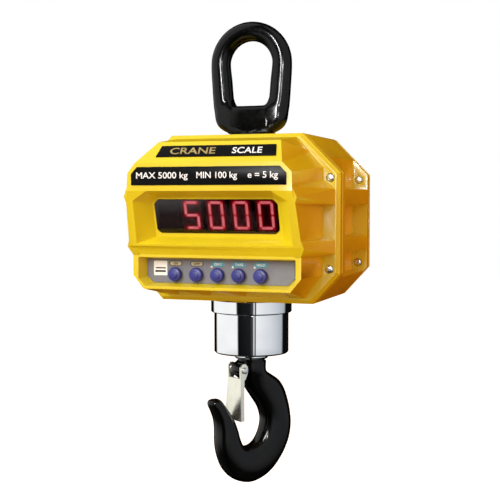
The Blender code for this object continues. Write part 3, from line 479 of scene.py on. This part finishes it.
def forgedSection(row, squareness, count):
    xi, zi, xo, zo, thick = row
    ring = []
    for i in range(count):
        angle = 2 * math.pi * (i + 0.5) / count
        c, s = math.cos(angle), math.sin(angle)
        along = math.copysign(abs(c) ** (2 / squareness), c) / 2
        across = math.copysign(abs(s) ** (2 / squareness), s) / 2
        ring.append(((xi + xo) / 2 + along * (xo - xi), across * thick, (zi + zo) / 2 + along * (zo - zi)))
    return ring


def rodMesh(radius, low, high, segments=64):
    return turnedMesh([(0, high), (radius, high), (radius, low), (0, low)], segments)


def makeHook():
    rows = smoothRows(hookRows, hookLook["between"])
    rings = []
    for index, row in enumerate(rows):
        share = min(1.0, index / hookLook["between"] / hookLook["squareFrom"])
        square = hookLook["neckSquareness"] + share * (hookLook["squareness"] - hookLook["neckSquareness"])
        rings.append(forgedSection(row, square, hookLook["sectionPoints"]))
    body = meshFrom(ringsToMesh(rings), "hook")
    shank = meshFrom(rodMesh(18.0, -427.0, -368.0), "shank")
    lug = meshFrom(slab(filleted(lugOutline, 3.0), -9.0, 9.0, 1.2), "lug")
    body = carved(body, (shank, lug), "UNION")
    bores = []
    for x, z, radius in ((*latchPivot, 3.1), (0.0, -378.6, 3.3)):
        turnY = Matrix.Translation((x * mm, 0, z * mm)) @ Matrix.Rotation(math.pi / 2, 4, "X")
        bores.append(meshFrom(rodMesh(radius, -40.0, 40.0, 32), "bore", turnY))
    body = carved(body, bores, "DIFFERENCE")
    body.transform(hookPlane)
    body.shade_smooth()
    body.set_sharp_from_angle(angle=math.radians(38))
    body.materials.clear()
    return addPiece("hook_forging", body, (black,), "hook_body", ("hook",))


eyeLook = {
    "crownZ": -29.6,
    "innerRadius": 29.6,
    "outerRadius": 55.05,
    "barMm": 26.0,
    "baseZ": -121.4,
    "squareness": 2.15,         # a round bar in the limbs
    "baseSquareness": 4.2,      # the base is nearly flat in front
    "foot": (29.0, 16.2, -104.0),
}


def makeEye():
    base = eyeLook["baseZ"]
    right = [((0.0, -84.5), (0.0, base), 33.0), ((12.0, -84.5), (17.0, base), 33.0),
             ((21.0, -83.8), (32.0, -118.8), 32.0), ((24.6, -79.5), (45.0, -109.0), 30.0),
             ((25.8, -70.0), (51.0, -90.0), 27.0), ((27.4, -50.0), (53.8, -58.0), 26.0)]
    for step in range(6):
        angle = math.radians(18 * step)
        inner, outer = ((r * math.cos(angle), eyeLook["crownZ"] + r * math.sin(angle))
                        for r in (eyeLook["innerRadius"], eyeLook["outerRadius"]))
        right.append((inner, outer, eyeLook["barMm"]))
    left = [((-inner[0], inner[1]), (-outer[0], outer[1]), thick) for inner, outer, thick in right[1:-1]]
    rings = []
    for row in smoothRows(right + left[::-1], 5, closed=True):
        share = min(1.0, max(0.0, (-95.0 - row[3]) / 20.0))
        square = eyeLook["squareness"] + share * (eyeLook["baseSquareness"] - eyeLook["squareness"])
        rings.append(forgedSection(row, square, 40))
    ring = meshFrom(ringsToMesh(rings, closed=True), "eye")
    halfX, halfY, top = eyeLook["foot"]
    foot = meshFrom(slab([(-halfX, base), (halfX, base), (halfX, top), (-halfX, top)], -halfY, halfY, 3.0),
                    "foot")
    shank = meshFrom(rodMesh(18.0, -196.0, -118.0), "shank")
    body = carved(ring, (foot, shank), "UNION")
    turnY = Matrix.Translation((0, 0, -176.0 * mm)) @ Matrix.Rotation(math.pi / 2, 4, "X")
    body = carved(body, (meshFrom(rodMesh(7.3, -40.0, 40.0, 32), "bore", turnY),), "DIFFERENCE")
    body.shade_smooth()
    body.set_sharp_from_angle(angle=math.radians(38))
    body.materials.clear()
    return addPiece("top_eye_forging", body, (black,), "scale_body", ("top_eye",))


makeHook()
makeEye()
print("forgings made")


# Chrome swivel, ring, screws and small turned parts.

def turnedPiece(name, profile, fillet, materials, stands, place=upright, segments=128):
    outline = filleted(profile, fillet, 3) if fillet else [Vector(p) for p in profile]
    mesh = meshFrom(turnedMesh([(max(p[0], 0.0), p[1]) for p in outline], segments), name, place, 35)
    return addPiece(name, mesh, materials, bodyOf[stands], (stands,))


shankBore = 18.0
collarProfile = [(0.0, -251.0), (17.0, -251.0), (shankBore, -252.0), (shankBore, -337.6), (52.0, -337.6),
                 (53.5, -339.1), (53.5, -354.4), (52.5, -355.4), (39.7, -355.4), (39.7, -362.0),
                 (0.0, -362.0)]
cupProfile = [(40.0, -355.7), (49.3, -355.7), (49.3, -407.6), (47.3, -409.6), (19.0, -409.6),
              (19.0, -400.0), (40.0, -400.0)]
ringProfile = [(18.3, -409.9), (23.0, -409.9), (23.0, -414.6), (21.0, -417.5), (18.3, -417.5)]


def makeSwivel():
    turnedPiece("collar_chrome", collarProfile, 0.5, (chrome,), "swivel_collar")
    turnedPiece("swivel_chrome", cupProfile, 0.8, (chrome,), "swivel_housing")
    turnedPiece("ring_chrome", ringProfile, 0.5, (chrome,), "hook_ring")


screwLook = {
    "recessMm": (5.4, 1.15, 1.5),       # length and width of one arm, and depth
    "headProfile": [(0.0, 1.6), (2.0, 1.52), (3.4, 1.2), (4.4, 0.6), (5.0, -0.1), (5.2, -0.7), (5.2, -1.3),
                    (2.4, -1.3)],
    "headMm": 1.6,                      # how far the head stands off its seat
    "reachMm": {"front": 21.0, "rear": 15.5},
}


# A pan head with a cross recess; the cutter narrows towards its floor.
def makeScrews():
    length, width, depth = screwLook["recessMm"]
    headMm = screwLook["headMm"]
    for number, (prefix, reach) in enumerate(screwLook["reachMm"].items()):
        profile = screwLook["headProfile"] + [(2.4, -reach + 1.5), (1.4, -reach), (0.0, -reach)]
        head = meshFrom(turnedMesh(profile, 48), "screw")
        cutters = []
        for quarter in range(2):
            arm = ringsToMesh([[(-length / 2 * s, -width / 2 * s, z), (length / 2 * s, -width / 2 * s, z),
                                (length / 2 * s, width / 2 * s, z), (-length / 2 * s, width / 2 * s, z)]
                               for s, z in ((1.1, 2.0), (0.6, headMm - depth))])
            cutters.append(meshFrom(arm, "arm", Matrix.Rotation(math.pi / 2 * quarter, 4, "Z")))
        head = carved(head, cutters, "DIFFERENCE")
        head.materials.clear()
        head.shade_smooth()
        head.set_sharp_from_angle(angle=math.radians(35))
        for index in range(1, 5):
            node = f"{prefix}_screw_{index}"
            low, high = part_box(node)
            middle = (low + high) / 2
            spin = Matrix.Rotation(0.5 * index + number, 4, "Z")
            place = (Matrix.Translation((middle.x, low.y + headMm * mm, middle.z))
                     @ Matrix.Rotation(math.pi / 2, 4, "X"))
            mesh = head.copy()
            mesh.transform(place @ spin)
            addPiece(node + "_head", mesh, (steel,), bodyOf[node], (node,))


def makeLatchPin():
    profile = [(0.0, 17.6), (3.0, 17.6), (3.9, 17.2), (4.2, 16.5), (4.2, 15.1), (2.8, 15.1), (2.8, -16.4),
               (0.0, -16.4)]
    place = (hookPlane @ Matrix.Translation((latchPivot[0] * mm, 0, latchPivot[1] * mm))
             @ Matrix.Rotation(math.pi / 2, 4, "X"))
    turnedPiece("latch_pin_fine", profile, 0.0, (steel,), "latch_pin", place, 48)


makeSwivel()
makeScrews()
makeLatchPin()
print("turned parts made")


# Labels on the name and rating faces.

labelLook = {
    "nameOutline": [(-62.5, 24.0), (82.0, 24.0), (84.0, 7.8), (-67.5, 7.8)],
    "ratingOutline": [(-90.0, -168.3), (90.0, -168.3), (97.9, -176.4), (97.9, -190.2), (-97.9, -190.2),
                      (-97.9, -176.4)],
    "ratingWords": (("MAX 5000 kg", (-91.0, -24.0)), ("MIN 100 kg", (-13.0, 38.0)),
                    ("e = 5 kg", (51.0, 88.0))),
    "inkMm": 0.1,
}


# Lettering that fills the given box on a face: left, right, bottom and top, at depth y.
def lettering(name, words, box, depth, place, ink, body, weight=0.0, slant=0.0):
    curve = bpy.data.curves.new(name, "FONT")
    curve.body = words
    curve.offset = weight
    curve.shear = slant
    curve.extrude = 0.01
    curve.resolution_u = 4
    text = bpy.data.objects.new(name, curve)
    bpy.context.scene.collection.objects.link(text)
    mesh = evaluated(text)
    bpy.data.objects.remove(text, do_unlink=True)
    mesh.name = name
    xs = [v.co.x for v in mesh.vertices]
    ys = [v.co.y for v in mesh.vertices]
    left, right, bottom, top = box
    stretchX = (right - left) / (max(xs) - min(xs))
    stretchZ = (top - bottom) / (max(ys) - min(ys))
    thick = labelLook["inkMm"]
    for vert in mesh.vertices:
        x, y, z = vert.co
        vert.co = Vector((left + (x - min(xs)) * stretchX, depth - (thick if z > 0 else 0.0),
                          bottom + (y - min(ys)) * stretchZ)) * mm
    mesh.transform(place)
    mesh.materials.clear()
    return addPiece(name, mesh, (ink,), body)


def makeLabels():
    strip = slab(filleted(labelLook["nameOutline"], 0.8), -1.05, -0.3, 0.15)
    addPiece("name_strip", meshFrom(strip, "name_strip", nameFace), (labelFilm,), "scale_body",
             ("nameplate",))
    rating = slab(filleted(labelLook["ratingOutline"], 1.0), -161.95, -161.3, 0.15)
    addPiece("rating_strip", meshFrom(rating, "rating_strip"), (labelFilm,), "scale_body",
             ("rating_plate",))
    lettering("name_word_1", "CRANE", (-50.0, 8.0, 11.4, 20.8), -1.07, nameFace, goldInk, "scale_body",
              0.015)
    lettering("name_word_2", "SCALE", (29.0, 66.0, 11.6, 20.4), -1.07, nameFace, whiteInk, "scale_body",
              0.015)
    for number, (words, (left, right)) in enumerate(labelLook["ratingWords"], 1):
        lettering(f"rating_word_{number}", words, (left, right, -184.6, -174.6), -161.97, upright, whiteInk,
                  "scale_body", 0.012)


makeLabels()
print("labels made")


# Display: lens, segments and the painted glow round them.

displayLook = {
    "lensMid": -37.9,
    "digits": " 5000",
    "pitch": 31.5,
    "character": (18.6, 34.4),          # width and height of one character
    "bar": 2.95,
    "gap": 0.55,
    "moduleFront": 22.5,
    "lift": 0.9,                        # the characters sit a little above the middle
    "glowReach": 2.2,
    "glowPatch": (26.8, 38.4),
    "glowCells": (45, 64),
    "lensHalf": (79.0, 21.4),
}
segmentsOf = {" ": "", "5": "afgcd", "0": "abcdef"}


# The seven bars of a character: each is a six-sided bar that ends in points.
def barOutlines():
    width, height = displayLook["character"]
    bar, gap = displayLook["bar"], displayLook["gap"]
    x = (width - bar) / 2
    z = (height - bar) / 2
    ends = {"a": ((-x, z), (x, z)), "g": ((-x, 0), (x, 0)), "d": ((-x, -z), (x, -z)),
            "f": ((-x, 0), (-x, z)), "b": ((x, 0), (x, z)), "e": ((-x, -z), (-x, 0)),
            "c": ((x, -z), (x, 0))}
    outlines = {}
    for key, (start, end) in ends.items():
        start, end = Vector(start), Vector(end)
        along = (end - start).normalized()
        side = Vector((-along.y, along.x)) * bar / 2
        first = start + along * gap
        last = end - along * gap
        inward = along * bar / 2
        outlines[key] = [first, first + inward + side, last - inward + side, last, last - inward - side,
                         first + inward - side]
    return outlines


def distanceTo(point, outline):
    start, end = outline[0], outline[3]
    run = end - start
    share = min(1.0, max(0.0, (point - start).dot(run) / run.dot(run)))
    return max(0.0, (point - start - run * share).length - displayLook["bar"] / 2)


def makeDisplay():
    outlines = barOutlines()
    front = displayLook["moduleFront"]
    for number, sign in enumerate(displayLook["digits"], 1):
        middle = Vector(((number - 3) * displayLook["pitch"], displayLook["lensMid"] + displayLook["lift"]))
        lights = [outlines[key] for key in segmentsOf[sign]]
        for key in sorted(segmentsOf[sign]):
            name = f"digit_{number}_bar_{key}"
            bar = slab([tuple(middle + p) for p in outlines[key]], front - 0.32, front - 0.2)
            addPiece(name, meshFrom(bar, name, displayFace), (lit,), "scale_body")
        if not lights:
            continue
        # A sheet just in front of the module face; its emission is a painted glow that fades with distance
        # from the lit bars.
        bm = bmesh.new()
        layer = bm.verts.layers.float.new("glow")
        wide, tall = displayLook["glowPatch"]
        columns, rows = displayLook["glowCells"]
        grid = []
        for i in range(columns + 1):
            line = []
            for j in range(rows + 1):
                local = Vector(((i / columns - 0.5) * wide, (j / rows - 0.5) * tall))
                vert = bm.verts.new((middle.x + local.x, front - 0.15, middle.y + local.y))
                nearest = min(distanceTo(local, shape) for shape in lights)
                vert[layer] = math.exp(-nearest / displayLook["glowReach"])
                line.append(vert)
            grid.append(line)
        for i in range(columns):
            for j in range(rows):
                bm.faces.new((grid[i][j], grid[i + 1][j], grid[i + 1][j + 1], grid[i][j + 1]))
        name = f"digit_{number}_glow"
        addPiece(name, meshFrom(bm, name, displayFace), (glow,), "scale_body")
    side, reach = displayLook["lensHalf"]
    low, high = displayLook["lensMid"] - reach, displayLook["lensMid"] + reach
    outline = [(6 - side, high), (side - 6, high), (side, high - 6), (side, low + 5), (side - 5, low),
               (5 - side, low), (-side, low + 5), (-side, high - 6)]
    lens = slab(filleted(outline, 4.0), 19.2, 21.2, 0.25)
    addPiece("lens_acrylic", meshFrom(lens, "lens_acrylic", displayFace), (acrylic,), "scale_body",
             ("window_lens",))


makeDisplay()
print("display made")


# Key panel: caps, printed pills and the sticker.

keyLook = {
    "xs": (-57.5, -29.5, -2.0, 25.5, 53.5),
    "z": -299.4,
    "seatY": -119.7,
    "words": ("ON", "OFF", "ZERO", "TARE", "HOLD"),
    "pillMm": (17.5, 6.2),
    "pillZ": -286.0,
    "stickerMm": 18.0,
    "stickerAt": (-78.0, -292.1),
}


def pillOutline(middleX, middleZ, width, height, steps=8):
    radius = height / 2
    points = []
    for side in (1, -1):
        for k in range(steps + 1):
            angle = side * math.pi / 2 - math.pi * k / steps
            points.append((middleX + side * (width / 2 - radius) + radius * math.cos(angle),
                           middleZ + radius * math.sin(angle)))
    return points


def makeKeys():
    cap = [(0.0, 8.0), (3.9, 7.98), (4.4, 7.7), (4.6, 7.0), (5.0, 6.7), (6.8, 6.6), (7.7, 6.2),
           (8.3, 5.4), (8.6, 4.2), (8.8, 2.9), (9.0, 2.6), (9.0, 2.3), (5.8, 2.3), (5.8, -4.0),
           (3.0, -4.0), (3.0, -8.6), (0.0, -8.6)]
    seat, z = keyLook["seatY"], keyLook["z"]
    width, height = keyLook["pillMm"]
    pillZ = keyLook["pillZ"]
    for number, x in enumerate(keyLook["xs"], 1):
        place = Matrix.Translation((x * mm, seat * mm, z * mm)) @ Matrix.Rotation(math.pi / 2, 4, "X")
        turnedPiece(f"key_{number}_silicone", cap, 0.0, (keyRubber,),
                    f"key_cap_{number}", place, 64)
        plain = number < 3
        rim = slab(pillOutline(x, pillZ, width, height), seat - 0.12, seat - 0.03)
        addPiece(f"key_{number}_pill", meshFrom(rim, "pill"), (darkInk if plain else cyanInk,),
                 "scale_body")
        fill = slab(pillOutline(x, pillZ, width - 2.2, height - 1.4), seat - 0.2, seat - 0.1)
        addPiece(f"key_{number}_pill_fill", meshFrom(fill, "fill"), (creamInk if plain else cyanInk,),
                 "scale_body")
        word = keyLook["words"][number - 1]
        half = 1.35 * len(word)
        lettering(f"key_{number}_word", word, (x - half, x + half, pillZ - 1.5, pillZ + 1.5), seat - 0.22,
                  upright, darkInk if plain else whiteInk, "scale_body", 0.02)
        if not plain:
            dot = slab(pillOutline(x - width / 2 + 0.6, pillZ - 3.2, 2.6, 2.6), seat - 0.3, seat - 0.1)
            addPiece(f"key_{number}_dot", meshFrom(dot, "dot"), (whiteInk,), "scale_body")
    size = keyLook["stickerMm"]
    cx, cz = keyLook["stickerAt"]
    corners = [(cx - size / 2, cz - size / 2), (cx + size / 2, cz - size / 2),
               (cx + size / 2, cz + size / 2), (cx - size / 2, cz + size / 2)]
    paper = slab(filleted(corners, 1.5), seat - 0.14, seat - 0.03)
    addPiece("sticker_paper", meshFrom(paper, "sticker_paper"), (stickerWhite,), "scale_body")
    # Two plain bars stand for the printed lines.
    for number, (left, right, low, high) in enumerate(((-6.5, 7.0, -0.6, 1.0), (-7.0, 7.0, -5.0, -2.6)), 1):
        line = slab([(cx + left, cz + low), (cx + right, cz + low), (cx + right, cz + high),
                     (cx + left, cz + high)], seat - 0.2, seat - 0.12)
        addPiece(f"sticker_line_{number}", meshFrom(line, "line"), (darkInk,), "scale_body")


makeKeys()
print("keys made")


# Finishes of the parts whose shape stays as it is.

finishOf = {
    rubber: ("front_gasket", "rear_gasket", "window_seal", "eye_seal"),
    steel: ("load_cell_pin_upper", "load_cell_pin_lower", "bearing_race_lower", "bearing_race_upper",
            "bearing_balls", "hook_nut", "hook_nut_pin", "latch_spring", "door_pin", "door_lock"),
    board: ("display_board", "switch_board", "main_board"),
    caseBlack: ("digit_1", "digit_2", "digit_3", "digit_4", "digit_5", "key_switch_1", "key_switch_2",
                "key_switch_3", "key_switch_4", "key_switch_5", "charge_socket"),
    panelFilm: ("key_panel",),
}
for finish, names in finishOf.items():
    for nodeName in names:
        mesh = nodes[nodeName].data
        for index in range(len(mesh.materials)):
            mesh.materials[index] = finish
print("finishes assigned")


# Floor, light and camera.

studioLook = {
    "floorZ": -0.75,
    "cameraAt": (0.452, -1.3133, -0.2073),
    "cameraTurn": 19.07,               # degrees from the front towards +X
    "cameraDip": 2.75,
    "lens": 75.6,
}


def makeFloor():
    bm = bmesh.new()
    bmesh.ops.create_grid(bm, x_segments=24, y_segments=24, size=6.0)
    mesh = bpy.data.meshes.new("floor")
    bm.to_mesh(mesh)
    bm.free()
    floor = bpy.data.objects.new("floor", mesh)
    floor.location.z = studioLook["floorZ"]
    bpy.context.scene.collection.objects.link(floor)
    material, tree, shader, place = startMaterial("paleStudioFloor", {
        "Roughness": 0.9, "Emission Color": "#FFFFFF", "Emission Strength": 0.6})
    speck = addNode(tree, "ShaderNodeTexNoise", {"Vector": place, "Scale": perMm(120), "Detail": 3.0})
    tint = addNode(tree, "ShaderNodeValToRGB", {"Fac": speck.outputs["Fac"]},
                   stops=((0.3, "#F4F4F2"), (0.7, "#FAFAF9")))
    tree.links.new(tint.outputs["Color"], shader.inputs["Base Color"])
    mesh.materials.append(material)
    floor.visible_diffuse = False
    floor.visible_glossy = False


# Plain white behind the object; soft light from the front left; tall soft boxes for the gloss.
def makeWorld():
    world = bpy.data.worlds.new("studio")
    bpy.context.scene.world = world
    world.use_nodes = True
    tree = world.node_tree
    tree.nodes.clear()
    ray = addNode(tree, "ShaderNodeLightPath")
    heading = addNode(tree, "ShaderNodeTexCoord").outputs["Generated"]
    key = Vector((-0.5, -0.75, 0.55)).normalized()
    facing = addNode(tree, "ShaderNodeVectorMath", {0: heading, 1: key}, operation="DOT_PRODUCT")
    spread = addNode(tree, "ShaderNodeMapRange", {"Value": facing.outputs["Value"], "From Min": -1.0})
    fill = addNode(tree, "ShaderNodeValToRGB", {"Fac": spread.outputs["Result"]},
                   stops=((0.0, "#742A10"), (1.0, "#FFFFFF"), (0.35, "#BC642C"), (0.62, "#DAC09A")))
    turned = addNode(tree, "ShaderNodeMapping", {
        "Vector": heading, "Rotation": (0.0, 0.0, -math.radians(studioLook["cameraTurn"]))})
    parts = addNode(tree, "ShaderNodeSeparateXYZ", {"Vector": turned.outputs["Vector"]})
    back = addNode(tree, "ShaderNodeMath", {0: parts.outputs["Y"], 1: -1.0}, operation="MULTIPLY")
    angle = addNode(tree, "ShaderNodeMath", {0: parts.outputs["X"], 1: back.outputs["Value"]},
                    operation="ARCTAN2")
    turn = addNode(tree, "ShaderNodeMapRange", {"Value": angle.outputs["Value"], "From Min": -math.pi,
                                                "From Max": math.pi})

    def at(degrees):
        return (degrees + 180) / 360

    bands = addNode(tree, "ShaderNodeValToRGB", {"Fac": turn.outputs["Result"]}, stops=(
        (at(-138), "#0C0D0E"), (at(114), "#0C0D0E"), (at(-131), "#FFFFFF"), (at(-45), "#FFFFFF"),
        (at(-41), "#0C0D0E"), (at(-4), "#1C1E20"), (at(5), "#4A4D52"), (at(6.5), "#E8EAEC"),
        (at(9), "#E8EAEC"), (at(10), "#0C0D0E"), (at(12.5), "#0C0D0E"), (at(14), "#F4F6F8"),
        (at(60), "#DCE0E6"), (at(106), "#B4BAC2")))
    height = addNode(tree, "ShaderNodeMapRange", {"Value": parts.outputs["Z"], "From Min": -0.5,
                                                  "From Max": -0.2, "To Min": 0.06, "To Max": 1.0})
    gloss = addNode(tree, "ShaderNodeMix", {0: height.outputs["Result"], 6: hexToLinear("#000000"),
                                            7: bands.outputs["Color"]}, data_type="RGBA")
    byGloss = addNode(tree, "ShaderNodeMix", {0: ray.outputs["Is Glossy Ray"], 6: fill.outputs["Color"],
                                              7: gloss.outputs[2]}, data_type="RGBA")
    byCamera = addNode(tree, "ShaderNodeMix", {0: ray.outputs["Is Camera Ray"], 6: byGloss.outputs[2],
                                               7: hexToLinear("#FFFFFF")}, data_type="RGBA")
    sky = addNode(tree, "ShaderNodeBackground", {"Color": byCamera.outputs[2], "Strength": 1.0})
    addNode(tree, "ShaderNodeOutputWorld", {"Surface": sky.outputs["Background"]})


# A flat lamp that faces a point of the object.
def addLamp(name, bearing, distance, z, aim, size, power, colour, inGloss=True, inDiffuse=True):
    lamp = bpy.data.lights.new(name, "AREA")
    lamp.shape = "RECTANGLE"
    lamp.size, lamp.size_y = size
    lamp.energy = power
    lamp.color = hexToLinear(colour)[:3]
    holder = bpy.data.objects.new(name, lamp)
    angle = math.radians(bearing + studioLook["cameraTurn"])
    holder.location = (distance * math.sin(angle), -distance * math.cos(angle), z)
    holder.rotation_euler = (Vector(aim) - holder.location).to_track_quat("-Z", "Y").to_euler()
    holder.visible_glossy = inGloss
    holder.visible_diffuse = inDiffuse
    bpy.context.scene.collection.objects.link(holder)


def makeCamera():
    camera = bpy.data.objects.new("camera", bpy.data.cameras.new("camera"))
    camera.data.lens = studioLook["lens"]
    camera.location = studioLook["cameraAt"]
    turn, dip = math.radians(studioLook["cameraTurn"]), math.radians(studioLook["cameraDip"])
    ahead = Vector((-math.sin(turn) * math.cos(dip), math.cos(turn) * math.cos(dip), -math.sin(dip)))
    camera.rotation_euler = ahead.to_track_quat("-Z", "Y").to_euler()
    bpy.context.scene.collection.objects.link(camera)
    bpy.context.scene.camera = camera


makeFloor()
makeWorld()
addLamp("keyLamp", -40, 1.8, 0.7, (0, 0, -0.25), (1.0, 1.0), 25.0, "#FFFFFF", inGloss=False)
addLamp("frontFill", 22, 1.7, -0.1, (0, 0, -0.25), (0.8, 0.8), 2.2, "#FFF2DC", inGloss=False)
addLamp("warmFill", 85, 1.6, -0.2, (0, 0, -0.25), (1.2, 1.2), 6.5, "#FF8C3C", inGloss=False)
addLamp("spotLamp", 3, 1.6, 0.12, (0, 0, -0.4), (0.08, 0.08), 5.0, "#FFFFFF", inDiffuse=False)
addLamp("stripLamp", -17, 1.6, 0.45, (0, 0, -0.05), (0.08, 0.8), 34.0, "#FFFFFF", inDiffuse=False)
makeCamera()
bpy.context.scene.view_settings.view_transform = "Standard"
print("studio made")
